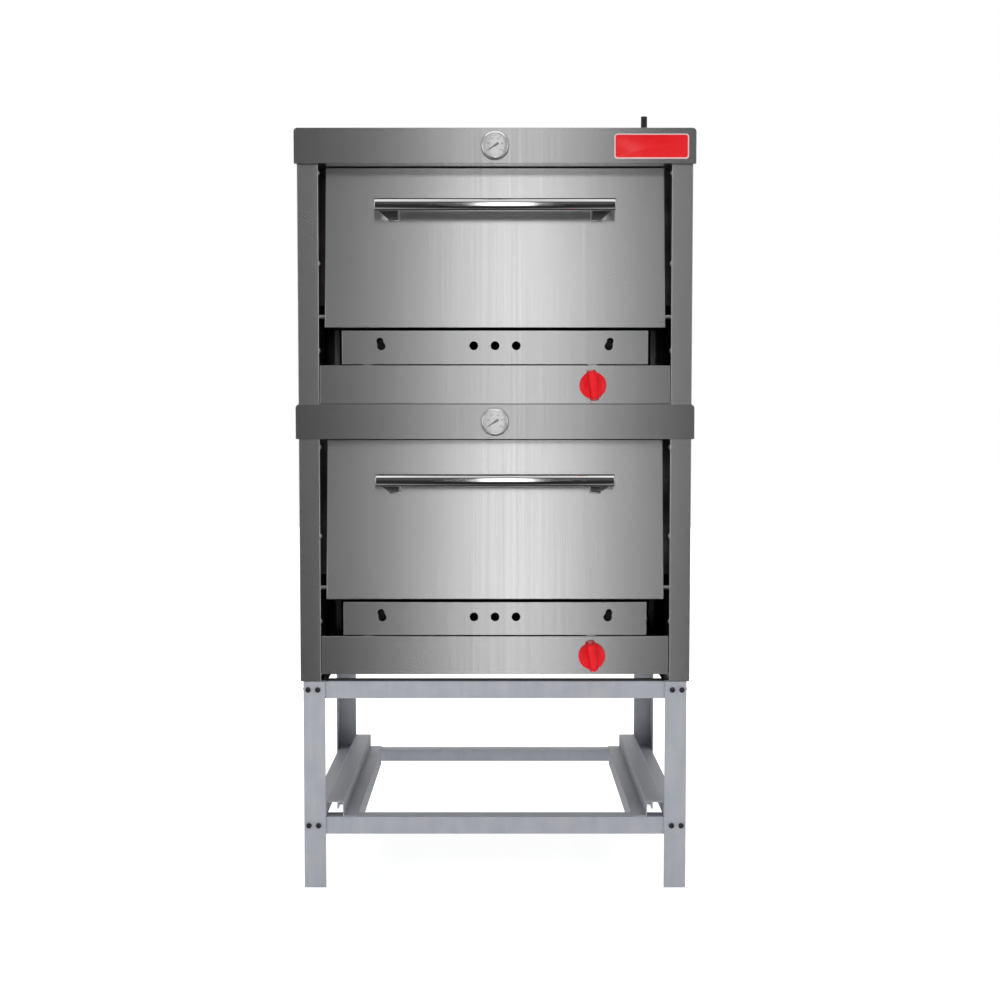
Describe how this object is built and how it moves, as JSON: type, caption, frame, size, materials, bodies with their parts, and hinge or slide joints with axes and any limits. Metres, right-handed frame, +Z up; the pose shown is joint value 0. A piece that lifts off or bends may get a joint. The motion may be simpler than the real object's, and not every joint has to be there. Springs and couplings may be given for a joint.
{
  "type": "deck oven",
  "caption": "Stacked gas deck baking oven in stainless steel with drop-down doors, bar handles, dial thermometers and gas knobs, on a painted angle-iron stand.",
  "frame": {"origin": "middle of the bounding box at the floor, under the legs", "axes": "+Z up, the doors face -Y, +X to the right seen from the front"},
  "size_m": [0.9, 0.8216, 1.912],
  "materials": {
    "brushed_stainless": "brushed, grain upright",
    "inner_steel": "mill finish sheet",
    "polished_steel": "polished",
    "grey_stand_paint": "satin",
    "black_pipe_paint": "semi-matt",
    "red_badge_paint": "gloss",
    "red_knob_plastic": "moulded gloss",
    "burner_iron": "matt",
    "brass": "machined",
    "hearth_stone": "fired, unglazed",
    "dial_enamel": "satin enamel",
    "needle_black": "satin",
    "dial_glass": "clear"
  },
  "bodies": {
    "root": {"badge_plate": "red_badge_paint", "gas_riser_pipe": "black_pipe_paint", "lower_base_pan": "inner_steel", "lower_burner_panel": "brushed_stainless", "lower_burner_tube": "burner_iron", "lower_chamber_liner": "inner_steel", "lower_control_panel": "brushed_stainless", "lower_feed_pipe": "brass", "lower_gas_valve": "brass", "lower_header_panel": "brushed_stainless", "lower_hearth_stone": "hearth_stone", "lower_rear_panel": "brushed_stainless", "lower_roof_panel": "brushed_stainless", "lower_side_panel_left": "brushed_stainless", "lower_side_panel_right": "brushed_stainless", "lower_thermometer_case": "polished_steel", "lower_thermometer_dial": "dial_enamel", "lower_thermometer_lens": "dial_glass", "stand_leg_front_left": "grey_stand_paint", "stand_leg_front_right": "grey_stand_paint", "stand_leg_rear_left": "grey_stand_paint", "stand_leg_rear_right": "grey_stand_paint", "stand_low_rail_front": "grey_stand_paint", "stand_low_rail_rear": "grey_stand_paint", "stand_runner_left": "grey_stand_paint", "stand_runner_right": "grey_stand_paint", "stand_top_rail_front": "grey_stand_paint", "stand_top_rail_left": "grey_stand_paint", "stand_top_rail_rear": "grey_stand_paint", "stand_top_rail_right": "grey_stand_paint", "upper_base_pan": "inner_steel", "upper_burner_panel": "brushed_stainless", "upper_burner_tube": "burner_iron", "upper_chamber_liner": "inner_steel", "upper_control_panel": "brushed_stainless", "upper_feed_pipe": "brass", "upper_gas_valve": "brass", "upper_header_panel": "brushed_stainless", "upper_hearth_stone": "hearth_stone", "upper_rear_panel": "brushed_stainless", "upper_roof_panel": "brushed_stainless", "upper_side_panel_left": "brushed_stainless", "upper_side_panel_right": "brushed_stainless", "upper_thermometer_case": "polished_steel", "upper_thermometer_dial": "dial_enamel", "upper_thermometer_lens": "dial_glass"},
    "lower_door": {"lower_door_skin": "brushed_stainless", "lower_door_liner": "inner_steel", "lower_door_handle": "polished_steel", "lower_hinge_rod": "polished_steel"},
    "lower_knob": {"lower_gas_knob": "red_knob_plastic", "lower_valve_stem": "brass"},
    "lower_needle": {"lower_thermometer_needle": "needle_black"},
    "upper_door": {"upper_door_skin": "brushed_stainless", "upper_door_liner": "inner_steel", "upper_door_handle": "polished_steel", "upper_hinge_rod": "polished_steel"},
    "upper_knob": {"upper_gas_knob": "red_knob_plastic", "upper_valve_stem": "brass"},
    "upper_needle": {"upper_thermometer_needle": "needle_black"}
  },
  "joints": [
    {"name": "lower_door_hinge", "type": "hinge", "parent": "root", "child": "lower_door", "pos_m": [0, -0.3565, 0.6943], "axis": [1, 0, 0], "range_deg": [0, 95]},
    {"name": "lower_gas_knob_turn", "type": "hinge", "parent": "root", "child": "lower_knob", "pos_m": [0.221, -0.37425, 0.5393], "axis": [0, -1, 0], "range_deg": [0, 210]},
    {"name": "lower_needle_turn", "type": "hinge", "parent": "root", "child": "lower_needle", "pos_m": [0, -0.38625, 1.0728], "axis": [0, 1, 0], "range_deg": [0, 250]},
    {"name": "upper_door_hinge", "type": "hinge", "parent": "root", "child": "upper_door", "pos_m": [0, -0.3565, 1.3103], "axis": [1, 0, 0], "range_deg": [0, 95]},
    {"name": "upper_gas_knob_turn", "type": "hinge", "parent": "root", "child": "upper_knob", "pos_m": [0.221, -0.37425, 1.1553], "axis": [0, -1, 0], "range_deg": [0, 210]},
    {"name": "upper_needle_turn", "type": "hinge", "parent": "root", "child": "upper_needle", "pos_m": [0, -0.38625, 1.6888], "axis": [0, 1, 0], "range_deg": [0, 250]}
  ]
}
